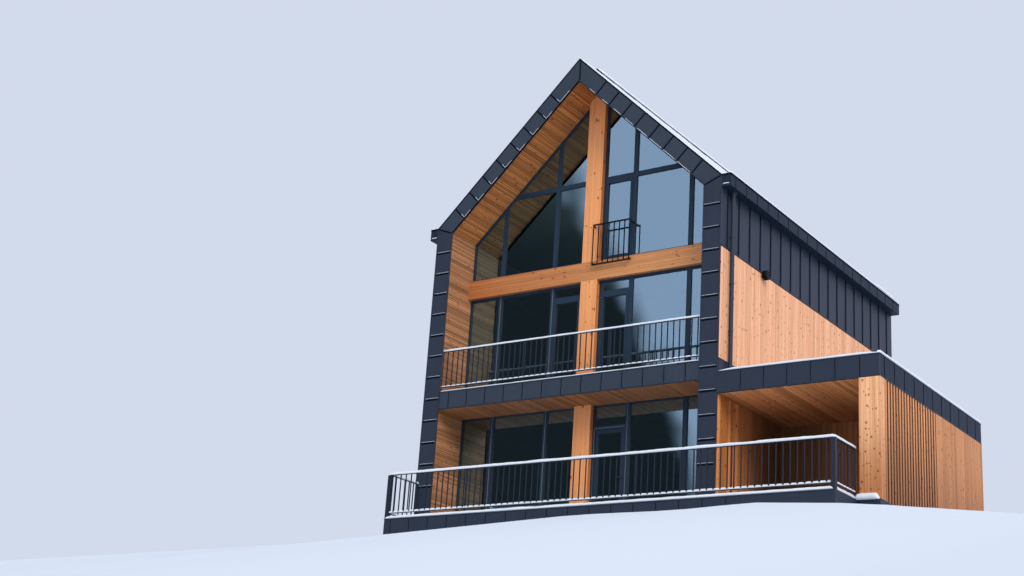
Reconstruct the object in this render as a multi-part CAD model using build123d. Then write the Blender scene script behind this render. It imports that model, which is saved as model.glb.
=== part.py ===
from build123d import *
from math import cos, radians, tan
import os

os.makedirs("parts", exist_ok=True)

# An alpine chalet with a fully glazed gable front, set back inside a dark standing-seam metal
# frame, with a flat-roofed covered terrace and store beside it. While the pieces are made, X runs
# to the right along the front, Y runs back from the front plane of the metal frame, and Z is 0 at
# the terrace floor. All sizes are in millimetres.

# House body
house_width = 7600          # over the side walls' cladding
house_depth = 9600          # from the metal frame's front to the rear cladding's face
eave_level = 7260           # terrace floor to where the roof's surface meets the walls' faces
roof_pitch = 44             # degrees
wall_core = 300
cladding = 40               # boards or metal outside a wall's core, and the metal frame's skin
lining = 40                 # boards on the reveals in front of the glass
break_drop = 480            # the boards end, and the metal starts, this far below the attic floor
roof_core = 340             # square to the slope
soffit_board = 30
corner_band_width = 420
rake_band_width = 410       # square to the slope
ridge_cap_rise = 90
ridge_cap_reach = 150
ridge_cap_start = 760       # behind the front

# Base, down to the lowest ground at the front left corner
base_drop = 550
deck = 40
plinth_skin = 30
plinth_lift = 20            # the plinth's metal stops this far above the ground
terrace_reach = 1045        # in front of the house
terrace_stop = 40           # between the terrace's right edge and the pier
pier_ledge = 30

# Floors and the front's timber
first_level = 3140
attic_level = 6120
floor_slab = 300
beam_height = 450
post_width = 440
post_depth = 240
post_setback = 885
balcony_slab_depth = 390
balcony_recess = 15         # the balcony's fascia stands this far behind the frame's face

# Glazing of the front
glass_setback = 1000
frame_depth = 78
frame_bar = 60
mullion = 110
inner_mullion_x = 1052
outer_mullion_x = 2530
door_head = 2170            # above each floor
door_transom = 88           # height of the bar over the first floor's doors
attic_transom_height = 1990  # above the attic floor
sash = 62                   # bars of the upper doors, inside the fixed frame
sash_proud = 12             # in front of the fixed frame
glass_thickness = 28

# Terrace door, the right ground bay next to the post
door_width = 765
door_thickness = 60
door_stile = 92
door_foot_gap = 8
door_hinge_gap = 5
door_lock_gap = 10
door_head_gap = 10
door_stop = 12
door_stop_gap = 6
door_stop_reach = 15
hinge_radius = 11
hinge_pin_radius = 6
hinge_clearance = 0.3
hinge_leaf_height = 45
hinge_plate = 4
hinge_plate_width = 42
hinge_count = 3
hinge_low = 200             # above the door's foot
hinge_head_drop = 300       # below the door's head
hinge_offset = 1            # from the knuckles to the frame's face
handle_height = 1050
handle_rose_radius = 26
handle_rose = 10
handle_neck_radius = 9
handle_reach = 52
handle_length = 125
handle_edge = 7

# Eaves
eave_overhang = 220
eave_height = 290
gutter_wall = 25
gutter_trough = 150
pipe_radius = 45
pipe_standoff = 25          # between the pipe and the wall
pipe_setback = 435          # from the front to the pipe's axis
pipe_foot = 60              # above the ground
pipe_clip_rim = 5
pipe_clip_height = 30
pipe_clip_count = 3
pipe_bracket = 24
outlet_radius = 68
outlet_collar = 25
outlet_cone = 75

# Annex: a covered terrace in front of a closed store, under one flat roof
annex_width = 3490
annex_depth = 5860
annex_open_depth = 3010
annex_top = 2860
annex_fascia = 470
annex_parapet = 90
annex_skin = 40
annex_soffit_board = 30
pier_width = 420
pier_depth = 240
store_wall = 140
slat_width = 78
slat_depth = 60
slat_count = 19
slat_rail = 70
slat_rail_depth = 40

# Railings
rail_height = 1010
rail_top_width = 50
rail_top_height = 30
rail_bar = 20
rail_pitch = 147
rail_foot = 120
rail_foot_bar = 30
rail_foot_thickness = 15
rail_end_gap = 22           # between a side railing's end and the house
rail_edge = 45              # from the edge of the floor to the railing's middle
rail_post_pitch = 2200
corner_post = 90
juliet_post_lap = 120       # over the post's face
juliet_mullion_lap = 38     # past the mullion's middle
juliet_drop = 130           # below the attic floor
juliet_height = 1000
juliet_standoff = 70
juliet_bracket = 30

# Rear windows
rear_window_width = 1200
rear_window_height = 1200
rear_window_x = 1700
rear_sill = 950
attic_window_width = 1000
window_inset = 80

# Wall lamp on the line between metal and boards
lamp_setback = 2020
lamp_drop = 45              # from the line to the lamp's axis
lamp_radius = 110
lamp_reach = 150
lamp_neck_radius = 55
lamp_neck = 40
lamp_shoulder = 10
lamp_bevel = 15
lamp_groove = 12            # a ring sunk round the drum's middle

half = house_width / 2
slope = tan(radians(roof_pitch))
ridge_height = eave_level + half * slope
core_out = half - cladding
core_in = core_out - wall_core
reveal_in = core_in - lining
annex_right = half + annex_width
glass_back = glass_setback + frame_depth
post_back = post_setback + post_depth
roof_drop = roof_core / cos(radians(roof_pitch))
soffit_drop = (roof_core + soffit_board) / cos(radians(roof_pitch))
band_drop = rake_band_width / cos(radians(roof_pitch))
cladding_break = attic_level - break_drop
beam_bottom = attic_level - beam_height
balcony_bottom = first_level - balcony_slab_depth
balcony_soffit_level = balcony_bottom - soffit_board
annex_bottom = annex_top - annex_fascia
terrace_right = annex_right - pier_width - terrace_stop
rear_face = house_depth - cladding


def block(x0, x1, y0, y1, z0, z1):
    """A box between two corners."""
    return Pos((x0 + x1) / 2, (y0 + y1) / 2, (z0 + z1) / 2) * Box(x1 - x0, y1 - y0, z1 - z0)


def prism(outline, y0, y1):
    """An outline of (x, z) points in the front's plane, run back from y0 to y1."""
    face = make_face(Polyline([(x, y0, z) for x, z in outline], close=True))
    return extrude(face, amount=y1 - y0, dir=(0, 1, 0))


def plan(outline, z0, z1):
    """An outline of (x, y) points seen from above, run up from z0 to z1."""
    face = make_face(Polyline([(x, y, z0) for x, y in outline], close=True))
    return extrude(face, amount=z1 - z0, dir=(0, 0, 1))


def mirrored(outline):
    return [(-x, z) for x, z in reversed(outline)]


def roof_z(x, drop=0):
    """Height of the roof's surface above x, or of a plane lying below it by drop."""
    return ridge_height - drop - abs(x) * slope


def plinth_outline(inset):
    """The footprint of the whole building, drawn in by inset."""
    return [
        (-half + inset, -terrace_reach + inset),
        (terrace_right - inset, -terrace_reach + inset),
        (terrace_right - inset, -pier_ledge + inset),
        (annex_right - inset, -pier_ledge + inset),
        (annex_right - inset, annex_depth - inset),
        (half - inset, annex_depth - inset),
        (half - inset, house_depth - inset),
        (-half + inset, house_depth - inset),
    ]


def bases():
    """Solid concrete bases under the terrace, the house and the annex, and their metal skin."""
    left = -half + plinth_skin
    right = annex_right - plinth_skin
    pieces = {
        "terrace_base": block(left, terrace_right - plinth_skin, -terrace_reach + plinth_skin, 0,
                              -base_drop, -deck),
        "house_base": block(left, -left, 0, house_depth - plinth_skin, -base_drop, -deck),
        "annex_base": block(-left, right, 0, annex_depth - plinth_skin, -base_drop, -deck),
    }
    foot = -base_drop + plinth_lift
    pieces["plinth_cladding"] = plan(plinth_outline(0), foot, 0) - plan(
        plinth_outline(plinth_skin), foot, 0)
    return pieces


def decks():
    """Board decks outside and the floor inside, all level with the plinth's top."""
    left = -half + plinth_skin
    front = -terrace_reach + plinth_skin
    outdoor = block(left, terrace_right - plinth_skin, front, 0, -deck, 0)
    recess = block(left, -left, 0, glass_setback, -deck, 0)
    return {
        "terrace_deck": outdoor + recess,
        "ground_floor": block(left, -left, glass_setback, house_depth - plinth_skin, -deck, 0),
        "annex_deck": block(-left, annex_right - plinth_skin, 0, annex_depth - plinth_skin, -deck, 0),
    }


def rear_window_boxes(y0, y1, inset=0):
    """The rear windows' holes, or what fills them when inset, between two depths."""
    boxes = []
    for level in (0, first_level):
        for side in (-1, 1):
            boxes.append((side * rear_window_x, rear_window_width, level + rear_sill))
    boxes.append((0, attic_window_width, attic_level + rear_sill))
    return [
        block(x - width / 2 + inset, x + width / 2 - inset, y0, y1,
              sill + inset, sill + rear_window_height - inset)
        for x, width, sill in boxes
    ]


def walls():
    """Timber-framed side walls from the metal frame to the back, and the rear gable between them."""
    side = [(core_in, 0), (core_out, 0), (core_out, roof_z(core_out, roof_drop)),
            (core_in, roof_z(core_in, roof_drop))]
    gable = [(-core_in, 0), (core_in, 0), (core_in, roof_z(core_in, roof_drop)),
             (0, roof_z(0, roof_drop)), (-core_in, roof_z(core_in, roof_drop))]
    rear = prism(gable, rear_face - wall_core, rear_face)
    for hole in rear_window_boxes(rear_face - wall_core, rear_face):
        rear -= hole
    return {
        "right_wall": prism(side, cladding, rear_face),
        "left_wall": prism(mirrored(side), cladding, rear_face),
        "rear_wall": rear,
    }


def wall_cladding():
    """Boards up to the break and standing-seam metal above it, on both sides and the rear."""
    boards = [(core_out, 0), (half, 0), (half, cladding_break), (core_out, cladding_break)]
    metal = [(core_out, cladding_break), (half, cladding_break), (half, roof_z(half)),
             (core_out, roof_z(core_out))]
    rear_boards = block(-core_out, core_out, rear_face, house_depth, 0, cladding_break)
    rear_metal = prism(
        [(-core_out, cladding_break), (core_out, cladding_break), (core_out, roof_z(core_out)),
         (0, roof_z(0)), (-core_out, roof_z(core_out))], rear_face, house_depth)
    for hole in rear_window_boxes(rear_face, house_depth):
        rear_boards -= hole
        rear_metal -= hole
    return {
        "side_timber_cladding": [prism(boards, cladding, house_depth),
                                 prism(mirrored(boards), cladding, house_depth)],
        "side_metal_cladding": [prism(metal, cladding, house_depth),
                                prism(mirrored(metal), cladding, house_depth)],
        "rear_timber_cladding": rear_boards,
        "rear_metal_cladding": rear_metal,
    }


def rear_windows():
    """A frame and a pane in each rear window, set in from the cladding's face."""
    back = house_depth - window_inset
    front = back - frame_depth
    middle = (back + front) / 2
    frames = [
        outer - inner for outer, inner in zip(
            rear_window_boxes(front, back), rear_window_boxes(front, back, frame_bar))
    ]
    panes = rear_window_boxes(middle - glass_thickness / 2, middle + glass_thickness / 2, frame_bar)
    return {"rear_window_frames": frames, "rear_window_glass": panes}


def front_frame():
    """The metal frame round the recess: two corner bands and two rake bands, mitred together."""
    band_in = half - corner_band_width
    corner = [(band_in, 0), (half, 0), (half, roof_z(half)), (band_in, roof_z(band_in, band_drop))]
    rake = [(0, roof_z(0, band_drop)), (band_in, roof_z(band_in, band_drop)),
            (half, roof_z(half)), (0, roof_z(0))]
    return {
        "corner_bands": [prism(corner, 0, cladding), prism(mirrored(corner), 0, cladding)],
        "right_rake_band": prism(rake, 0, cladding),
        "left_rake_band": prism(mirrored(rake), 0, cladding),
    }


def roof():
    """Two slopes, the raised ridge cap, and the boarded soffits in front of the glass."""
    slab = [(0, roof_z(0, roof_drop)), (core_out, roof_z(core_out, roof_drop)),
            (core_out, roof_z(core_out)), (0, roof_z(0))]
    soffit = [(0, roof_z(0, soffit_drop)), (core_in, roof_z(core_in, soffit_drop)),
              (core_in, roof_z(core_in, roof_drop)), (0, roof_z(0, roof_drop))]
    reach = ridge_cap_reach
    cap = [(0, roof_z(0)), (reach, roof_z(reach)), (reach, roof_z(reach) + ridge_cap_rise),
           (0, roof_z(0) + ridge_cap_rise), (-reach, roof_z(reach) + ridge_cap_rise),
           (-reach, roof_z(reach))]
    return {
        "right_roof": prism(slab, cladding, rear_face),
        "left_roof": prism(mirrored(slab), cladding, rear_face),
        "right_roof_soffit": prism(soffit, cladding, post_back),
        "left_roof_soffit": prism(mirrored(soffit), cladding, post_back),
        "ridge_cap": prism(cap, ridge_cap_start, house_depth),
    }


def reveal_linings():
    """Boards on the inner faces of the side walls, from the frame to behind the glass."""
    boards = [(reveal_in, 0), (core_in, 0), (core_in, roof_z(core_in, soffit_drop)),
              (reveal_in, roof_z(reveal_in, soffit_drop))]
    return {"reveal_linings": [prism(boards, cladding, post_back),
                               prism(mirrored(boards), cladding, post_back)]}


def gutter(side):
    """A flat-topped box gutter along one eave, closed at both ends."""
    top = roof_z(half)
    outer = block(half, half + eave_overhang, 0, house_depth, top - eave_height, top)
    trough = block(half + gutter_wall, half + eave_overhang - gutter_wall,
                   gutter_wall, house_depth - gutter_wall, top - gutter_trough, top)
    piece = outer - trough
    return piece if side > 0 else mirror(piece, about=Plane.YZ)


def downpipe(side, foot):
    """A round pipe turned in one profile with its outlet funnel and clips, bracketed to the wall."""
    top = roof_z(half) - eave_height
    x = half + pipe_standoff + pipe_radius
    rim = pipe_radius + pipe_clip_rim
    clips = [foot + (top - foot) * (i + 1) / (pipe_clip_count + 1) for i in range(pipe_clip_count)]
    profile = [(0, foot), (pipe_radius, foot)]
    for z in clips:
        profile += [(pipe_radius, z), (rim, z), (rim, z + pipe_clip_height),
                    (pipe_radius, z + pipe_clip_height)]
    profile += [(pipe_radius, top - outlet_collar - outlet_cone), (outlet_radius, top - outlet_collar),
                (outlet_radius, top), (0, top)]
    face = make_face(Polyline([(r, 0, z) for r, z in profile], close=True))
    pipe = Pos(x, pipe_setback, 0) * revolve(face, axis=Axis.Z)
    brackets = [block(half, x, pipe_setback - pipe_bracket / 2, pipe_setback + pipe_bracket / 2,
                      z, z + pipe_clip_height) for z in clips]
    piece = pipe.fuse(*brackets)
    return piece if side > 0 else mirror(piece, about=Plane.YZ)


def eaves():
    """Gutters on both sides; the right pipe ends on the annex roof, the left one near the ground."""
    annex_roof_level = annex_top - annex_parapet
    return {
        "eave_gutters": [gutter(1), gutter(-1)],
        "downpipes": [downpipe(1, annex_roof_level), downpipe(-1, pipe_foot - base_drop)],
    }


def floors():
    """The two upper floors, from behind the front's timber to the rear wall."""
    back = rear_face - wall_core
    return {
        "first_floor": block(-core_in, core_in, post_back, back, first_level - floor_slab, first_level),
        "attic_floor": block(-core_in, core_in, post_back, back, attic_level - floor_slab, attic_level),
    }


def front_timber():
    """The full-height laminated post in three lengths, and the beam at the attic floor."""
    w = post_width / 2
    lower = block(-w, w, post_setback, post_back, 0, balcony_bottom)
    middle = block(-w, w, post_setback, post_back, first_level, beam_bottom)
    peak = [(-w, attic_level), (w, attic_level), (w, roof_z(w, soffit_drop)),
            (0, roof_z(0, soffit_drop)), (-w, roof_z(w, soffit_drop))]
    upper = prism(peak, post_setback, post_back)
    beam = block(-reveal_in, reveal_in, post_setback, post_back, beam_bottom, attic_level)
    return {"central_post": [lower, middle, upper], "attic_beam": beam}


def balcony():
    """The balcony between the side walls, with its metal fascia and boarded soffit."""
    front = balcony_recess
    back = front + cladding
    w = post_width / 2
    fascia = block(-reveal_in, reveal_in, cladding, back, balcony_soffit_level, first_level)
    band_in = half - corner_band_width
    face = block(-band_in, band_in, front, cladding, balcony_soffit_level, first_level)
    soffit = block(-reveal_in, reveal_in, back, glass_setback, balcony_soffit_level, balcony_bottom)
    soffit -= block(-w, w, post_setback, glass_setback, balcony_soffit_level, balcony_bottom)
    return {
        "balcony_slab": block(-reveal_in, reveal_in, back, post_back, balcony_bottom, first_level),
        "balcony_fascia": fascia + face,
        "balcony_soffit": soffit,
    }


def bay_outline(x0, x1, z0, z1):
    """A rectangular bay, or one whose top follows the roof's soffit where z1 is None."""
    if z1 is not None:
        return [(x0, z0), (x1, z0), (x1, z1), (x0, z1)]
    return [(x0, z0), (x1, z0), (x1, roof_z(x1, soffit_drop)), (x0, roof_z(x0, soffit_drop))]


def glazed_bay(outline, mullions, transoms, doors=()):
    """A frame round an outline, its bars and door sashes, and the panes between them."""
    y0, y1 = glass_setback, glass_back
    middle = (y0 + y1) / 2
    outer = prism(outline, y0, y1)
    wire = Polyline([(x, 0, z) for x, z in outline], close=True)
    inside = offset(make_face(wire), amount=-frame_bar, kind=Kind.INTERSECTION)
    opening = Pos(0, y0, 0) * extrude(inside, amount=frame_depth, dir=(0, 1, 0))
    frame = outer - opening
    top = ridge_height
    bars = [block(x - mullion / 2, x + mullion / 2, y0, y1, 0, top) for x in mullions]
    bars += [block(xa, xb, y0, y1, z, z + height) for xa, xb, z, height in transoms]
    sheet = opening & block(-half, half, middle - glass_thickness / 2, middle + glass_thickness / 2,
                            0, top)
    for bar in bars:
        frame = frame + (bar & opening)
        sheet = sheet - bar
    for x0, x1, z0, z1 in doors:
        ring = block(x0, x1, y0 - sash_proud, y1, z0, z1)
        ring -= block(x0 + sash, x1 - sash, y0 - sash_proud, y1, z0 + sash, z1 - sash)
        frame = frame + ring
        sheet = sheet - ring
    return frame, sheet.solids()


def glazing():
    """Frames and panes of the three storeys, one bay on each side of the post."""
    w = post_width / 2
    door_left = w + frame_bar + door_hinge_gap
    fixed_left = door_left + door_width + door_lock_gap + frame_bar
    left_mullions = [-inner_mullion_x, -outer_mullion_x]
    right_mullions = [inner_mullion_x, outer_mullion_x]
    ground_left = glazed_bay(bay_outline(-reveal_in, -w, 0, balcony_bottom), left_mullions, [])
    ground_right = glazed_bay(bay_outline(fixed_left, reveal_in, 0, balcony_bottom),
                              [outer_mullion_x], [])
    head = first_level + door_head
    near, far = w + frame_bar, inner_mullion_x - mullion / 2
    sill = first_level + frame_bar
    first_left = glazed_bay(bay_outline(-reveal_in, -w, first_level, beam_bottom), left_mullions,
                            [(-inner_mullion_x, -w, head, door_transom)], [(-far, -near, sill, head)])
    first_right = glazed_bay(bay_outline(w, reveal_in, first_level, beam_bottom), right_mullions,
                             [(w, inner_mullion_x, head, door_transom)], [(near, far, sill, head)])
    transom = attic_level + attic_transom_height
    attic_left = glazed_bay(bay_outline(-reveal_in, -w, attic_level, None), left_mullions,
                            [(-reveal_in, -w, transom, mullion)])
    attic_right = glazed_bay(bay_outline(w, reveal_in, attic_level, None), right_mullions,
                             [(w, reveal_in, transom, mullion)],
                             [(near, far, attic_level + frame_bar, transom)])
    return {
        "ground_glazing_frames": [ground_left[0], ground_right[0]],
        "first_floor_glazing_frames": [first_left[0], first_right[0]],
        "attic_glazing_frames": [attic_left[0], attic_right[0]],
        "ground_glass": [*ground_left[1], *ground_right[1]],
        "first_floor_glass": [*first_left[1], *first_right[1]],
        "attic_glass": [*attic_left[1], *attic_right[1]],
    }


def hinge_levels():
    """Heights of the door's hinges, from the foot of each frame knuckle."""
    high = door_head - hinge_head_drop
    return [hinge_low + i * (high - hinge_low) / (hinge_count - 1) for i in range(hinge_count)]


def terrace_door():
    """A glazed leaf hung on the post's side, opening inwards, in a frame with a light over it."""
    left = post_width / 2
    leaf_left = left + frame_bar + door_hinge_gap
    leaf_right = leaf_left + door_width
    right = leaf_right + door_lock_gap + frame_bar
    leaf_top = door_head - door_head_gap
    y0, y1 = glass_setback, glass_back
    hinge_x = leaf_left - door_hinge_gap / 2
    hinge_y = y1 + hinge_radius + hinge_offset

    frame = block(left, right, y0, y1, 0, balcony_bottom)
    frame -= block(left + frame_bar, right - frame_bar, y0, y1, 0, door_head)
    frame -= block(left + frame_bar, right - frame_bar, y0, y1,
                   door_head + frame_bar, balcony_bottom - frame_bar)
    stop = block(left + frame_bar, right - frame_bar, y0, y0 + door_stop, 0, door_head)
    stop -= block(left + frame_bar + door_stop_reach, right - frame_bar - door_stop_reach,
                  y0, y0 + door_stop, 0, door_head - door_stop_reach - door_head_gap)
    frame += stop
    middle = (y0 + y1) / 2
    light = block(left + frame_bar, right - frame_bar, middle - glass_thickness / 2,
                  middle + glass_thickness / 2, door_head + frame_bar, balcony_bottom - frame_bar)

    leaf_y0 = y0 + door_stop + door_stop_gap
    leaf_y1 = leaf_y0 + door_thickness
    leaf = block(leaf_left, leaf_right, leaf_y0, leaf_y1, door_foot_gap, leaf_top)
    pane_x0, pane_x1 = leaf_left + door_stile, leaf_right - door_stile
    pane_z0, pane_z1 = door_foot_gap + door_stile, leaf_top - door_stile
    leaf -= block(pane_x0, pane_x1, leaf_y0, leaf_y1, pane_z0, pane_z1)
    leaf_middle = (leaf_y0 + leaf_y1) / 2
    pane = block(pane_x0, pane_x1, leaf_middle - glass_thickness / 2,
                 leaf_middle + glass_thickness / 2, pane_z0, pane_z1)

    for z in hinge_levels():
        leaf_z = z + hinge_leaf_height + hinge_clearance
        knuckle = Pos(hinge_x, hinge_y, z + hinge_leaf_height / 2) * Cylinder(
            hinge_radius, hinge_leaf_height)
        pin = Pos(hinge_x, hinge_y, leaf_z + hinge_leaf_height / 2) * Cylinder(
            hinge_pin_radius, hinge_leaf_height + 2 * hinge_clearance)
        plate = block(hinge_x - hinge_plate_width, hinge_x - door_hinge_gap / 2, y1,
                      y1 + hinge_plate, z, z + hinge_leaf_height)
        frame += plate + knuckle + pin
        socket = Pos(hinge_x, hinge_y, leaf_z + hinge_leaf_height / 2) * (
            Cylinder(hinge_radius, hinge_leaf_height)
            - Cylinder(hinge_pin_radius + hinge_clearance, hinge_leaf_height))
        strap = block(leaf_left, hinge_x + hinge_plate_width, leaf_y1, leaf_y1 + hinge_plate,
                      leaf_z, leaf_z + hinge_leaf_height)
        bore = Pos(hinge_x, hinge_y, leaf_z + hinge_leaf_height / 2) * Cylinder(
            hinge_pin_radius + hinge_clearance, hinge_leaf_height)
        leaf = leaf + socket + (strap - bore)

    handles = []
    x = leaf_right - door_stile / 2
    for face, way in ((leaf_y0, -1), (leaf_y1, 1)):
        rose = Pos(x, face + way * handle_rose / 2, handle_height) * Rot(90, 0, 0) * Cylinder(
            handle_rose_radius, handle_rose)
        neck = Pos(x, face + way * handle_reach / 2, handle_height) * Rot(90, 0, 0) * Cylinder(
            handle_neck_radius, handle_reach)
        lever = Pos(x - handle_length / 2 + handle_neck_radius, face + way * handle_reach,
                    handle_height) * Box(handle_length, 2 * handle_neck_radius,
                                         2 * handle_neck_radius)
        lever = fillet(lever.edges().filter_by(Axis.X), handle_edge)
        handles.append(rose.fuse(neck, lever))

    print("door hinge axis", round(hinge_x, 3), round(hinge_y, 3))
    return {
        "terrace_door_frame": frame,
        "terrace_door_leaf": leaf,
        "terrace_door_glass": pane,
        "terrace_door_handle": handles,
    }, light


def railing(length, height, end_posts=0):
    """A railing from X 0 to length, its middle at Y 0 and its feet at Z 0."""
    top = block(0, length, -rail_top_width / 2, rail_top_width / 2, height - rail_top_height, height)
    foot = block(0, length, -rail_foot_bar / 2, rail_foot_bar / 2, rail_foot,
                 rail_foot + rail_foot_thickness)
    b = rail_bar / 2
    gaps = max(2, round(length / rail_pitch))
    bars = [block(x - b, x + b, -b, b, rail_foot, height - rail_top_height)
            for x in [length * i / gaps for i in range(1, gaps)]]
    spans = max(1, round(length / rail_post_pitch))
    for i in range(spans + 1):
        x = min(max(length * i / spans, b), length - b)
        bars.append(block(x - b, x + b, -rail_foot_bar / 2, rail_foot_bar / 2, 0,
                          height - rail_top_height))
    for x in ([0, length] if end_posts == 2 else [length] if end_posts == 1 else []):
        c = corner_post / 2
        bars.append(block(x - c, x + c, -c, c, 0, height - rail_top_height))
    return top.fuse(foot, *bars)


def railings():
    """Railings of the terrace, the balcony and the attic door."""
    left = -half + rail_edge
    right = terrace_right - rail_edge
    front = -terrace_reach + rail_edge
    terrace = Pos(left, front, 0) * railing(right - left, rail_height, end_posts=2)
    reach = -front - corner_post / 2
    side = railing(reach - rail_end_gap, rail_height)
    sides = [Pos(x, front + corner_post / 2, 0) * Rot(0, 0, 90) * side for x in (left, right)]
    gallery = Pos(-reveal_in, balcony_recess + cladding + rail_edge, first_level) * railing(
        2 * reveal_in, rail_height)
    return {
        "terrace_railing": terrace,
        "terrace_side_railings": sides,
        "balcony_railing": gallery,
        "juliet_railing": juliet(),
    }


def juliet():
    """The railing in front of the attic door, bracketed to the post, the beam and the frame."""
    y1 = post_setback - juliet_standoff
    y0 = y1 - juliet_bracket
    x0, x1 = post_width / 2 - juliet_post_lap, inner_mullion_x + juliet_mullion_lap
    z0 = attic_level - juliet_drop
    z1 = z0 + juliet_height
    middle = (y0 + y1) / 2
    b = rail_bar / 2
    bars = [block(x0, x1, y0, y1, z1 - rail_top_height, z1)]
    gaps = round((x1 - x0) / rail_pitch)
    for i in range(gaps + 1):
        x = x0 + b + (x1 - x0 - 2 * b) * i / gaps
        bars.append(block(x - b, x + b, middle - b, middle + b, z0, z1 - rail_top_height))
    for x, z, back in (
        (x0, z1 - rail_top_height - juliet_bracket, post_setback),
        (x0, z0 + juliet_bracket, post_setback),
        (x1 - juliet_bracket, z0 + juliet_bracket, post_setback),
        (x1 - juliet_bracket, z1 - rail_top_height - juliet_bracket, glass_setback),
    ):
        bars.append(block(x, x + juliet_bracket, middle, back, z, z + juliet_bracket))
    foot = block(x0, x1, y0, y1, z0, z0 + juliet_bracket)
    return foot.fuse(*bars)


def annex():
    """The flat roof with its metal fascia, the pier, the slat screen and the store's board walls."""
    left, right = half, annex_right
    back = annex_depth
    roof_top = annex_top - annex_parapet
    soffit_top = annex_bottom + annex_soffit_board
    wall_in = right - store_wall
    slats = []
    span = annex_open_depth - pier_depth
    pitch = span / slat_count
    for i in range(slat_count):
        y = pier_depth + (i + 0.5) * pitch
        slats.append(block(right - slat_depth, right, y - slat_width / 2, y + slat_width / 2,
                           0, annex_bottom))
    rails = [
        block(right - slat_depth - slat_rail_depth, right - slat_depth, pier_depth,
              annex_open_depth, z, z + slat_rail)
        for z in (slat_rail, annex_bottom - slat_rail)
    ]
    return {
        "annex_roof": block(left, right - annex_skin, annex_skin, back - annex_skin,
                            soffit_top, roof_top),
        "annex_soffit": block(left, right - annex_skin, annex_skin, annex_open_depth,
                              annex_bottom, soffit_top),
        "annex_front_fascia": block(left, right, 0, annex_skin, annex_bottom, annex_top),
        "annex_side_fascia": block(right - annex_skin, right, annex_skin, back, annex_bottom, annex_top),
        "annex_rear_fascia": block(left, right - annex_skin, back - annex_skin, back,
                                   annex_bottom, annex_top),
        "annex_pier": block(right - pier_width, right, 0, pier_depth, 0, annex_bottom),
        "slat_screen": rails[0].fuse(*slats, rails[1]),
        "store_side_wall": block(wall_in, right, annex_open_depth, back, 0, annex_bottom),
        "store_front_wall": block(left, wall_in, annex_open_depth, annex_open_depth + store_wall,
                                  0, soffit_top),
        "store_rear_wall": block(left, wall_in, back - store_wall, back, 0, annex_bottom),
    }


def wall_lamp():
    """A round lamp turned about its axis, on the right wall."""
    middle = (lamp_neck + lamp_shoulder + lamp_reach - lamp_bevel) / 2
    low, high = middle - lamp_groove / 2, middle + lamp_groove / 2
    profile = Polyline([(0, 0), (lamp_neck_radius, 0), (lamp_neck_radius, lamp_neck),
                        (lamp_radius, lamp_neck + lamp_shoulder), (lamp_radius, low),
                        (lamp_radius - lamp_groove, low), (lamp_radius - lamp_groove, high),
                        (lamp_radius, high), (lamp_radius, lamp_reach - lamp_bevel),
                        (lamp_radius - lamp_bevel, lamp_reach), (0, lamp_reach)], close=True)
    drum = revolve(make_face(profile), axis=Axis.Y)
    axis_level = cladding_break - lamp_drop
    return {"wall_lamp": Pos(half, lamp_setback, axis_level) * Rot(0, 0, -90) * drum}


def build():
    pieces = {}
    for group in (bases, decks, walls, wall_cladding, rear_windows, front_frame, roof,
                  reveal_linings, eaves, floors, front_timber, balcony, glazing, railings,
                  annex, wall_lamp):
        pieces.update(group())
    door, light = terrace_door()
    pieces.update(door)
    pieces["ground_glass"] = [*pieces["ground_glass"], light]
    return pieces


# The finished model's origin is at the middle of its footprint, at the foot of the base.
middle_x = (annex_right - half - eave_overhang) / 2
middle_y = (house_depth - terrace_reach) / 2
place = Pos(-middle_x, -middle_y, base_drop)

for name, piece in build().items():
    items = piece if isinstance(piece, list) else [piece]
    solids = [place * solid for item in items for solid in item.solids()]
    shape = solids[0] if len(solids) == 1 else Compound(children=solids)
    export_step(shape, f"parts/{name}.step")

print("origin shift", round(middle_x, 1), round(middle_y, 1), base_drop)
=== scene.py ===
import math
import random

import bmesh
import bpy
import numpy as np
from mathutils import Matrix, Vector, noise


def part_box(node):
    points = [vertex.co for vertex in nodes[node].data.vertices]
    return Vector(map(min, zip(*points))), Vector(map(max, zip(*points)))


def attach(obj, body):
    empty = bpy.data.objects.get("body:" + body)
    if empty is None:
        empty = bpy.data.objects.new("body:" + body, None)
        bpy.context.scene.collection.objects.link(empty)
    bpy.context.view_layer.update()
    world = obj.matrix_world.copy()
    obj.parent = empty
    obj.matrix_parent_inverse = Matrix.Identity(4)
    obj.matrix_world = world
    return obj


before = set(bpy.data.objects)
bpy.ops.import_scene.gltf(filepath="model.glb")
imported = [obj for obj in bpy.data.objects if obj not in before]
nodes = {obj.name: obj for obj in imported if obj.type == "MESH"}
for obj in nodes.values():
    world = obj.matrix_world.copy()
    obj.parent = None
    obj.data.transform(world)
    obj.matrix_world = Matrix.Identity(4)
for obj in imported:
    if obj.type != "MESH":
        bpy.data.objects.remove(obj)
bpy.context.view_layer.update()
scene = bpy.context.scene
rng = random.Random(24)
print("frame loaded:", len(nodes), "nodes")

# Everything below is measured in the house's own directions, in metres: x from the middle of the
# gable front, y back from the metal frame's face, z up from the terrace floor.
frontLow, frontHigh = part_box("corner_bands")
origin = Vector(((frontLow.x + frontHigh.x) / 2, frontLow.y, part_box("terrace_deck")[1].z))
up, back, right = Vector((0, 0, 1)), Vector((0, 1, 0)), Vector((1, 0, 0))


def span(node):
    low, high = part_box(node)
    return low - origin, high - origin


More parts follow.
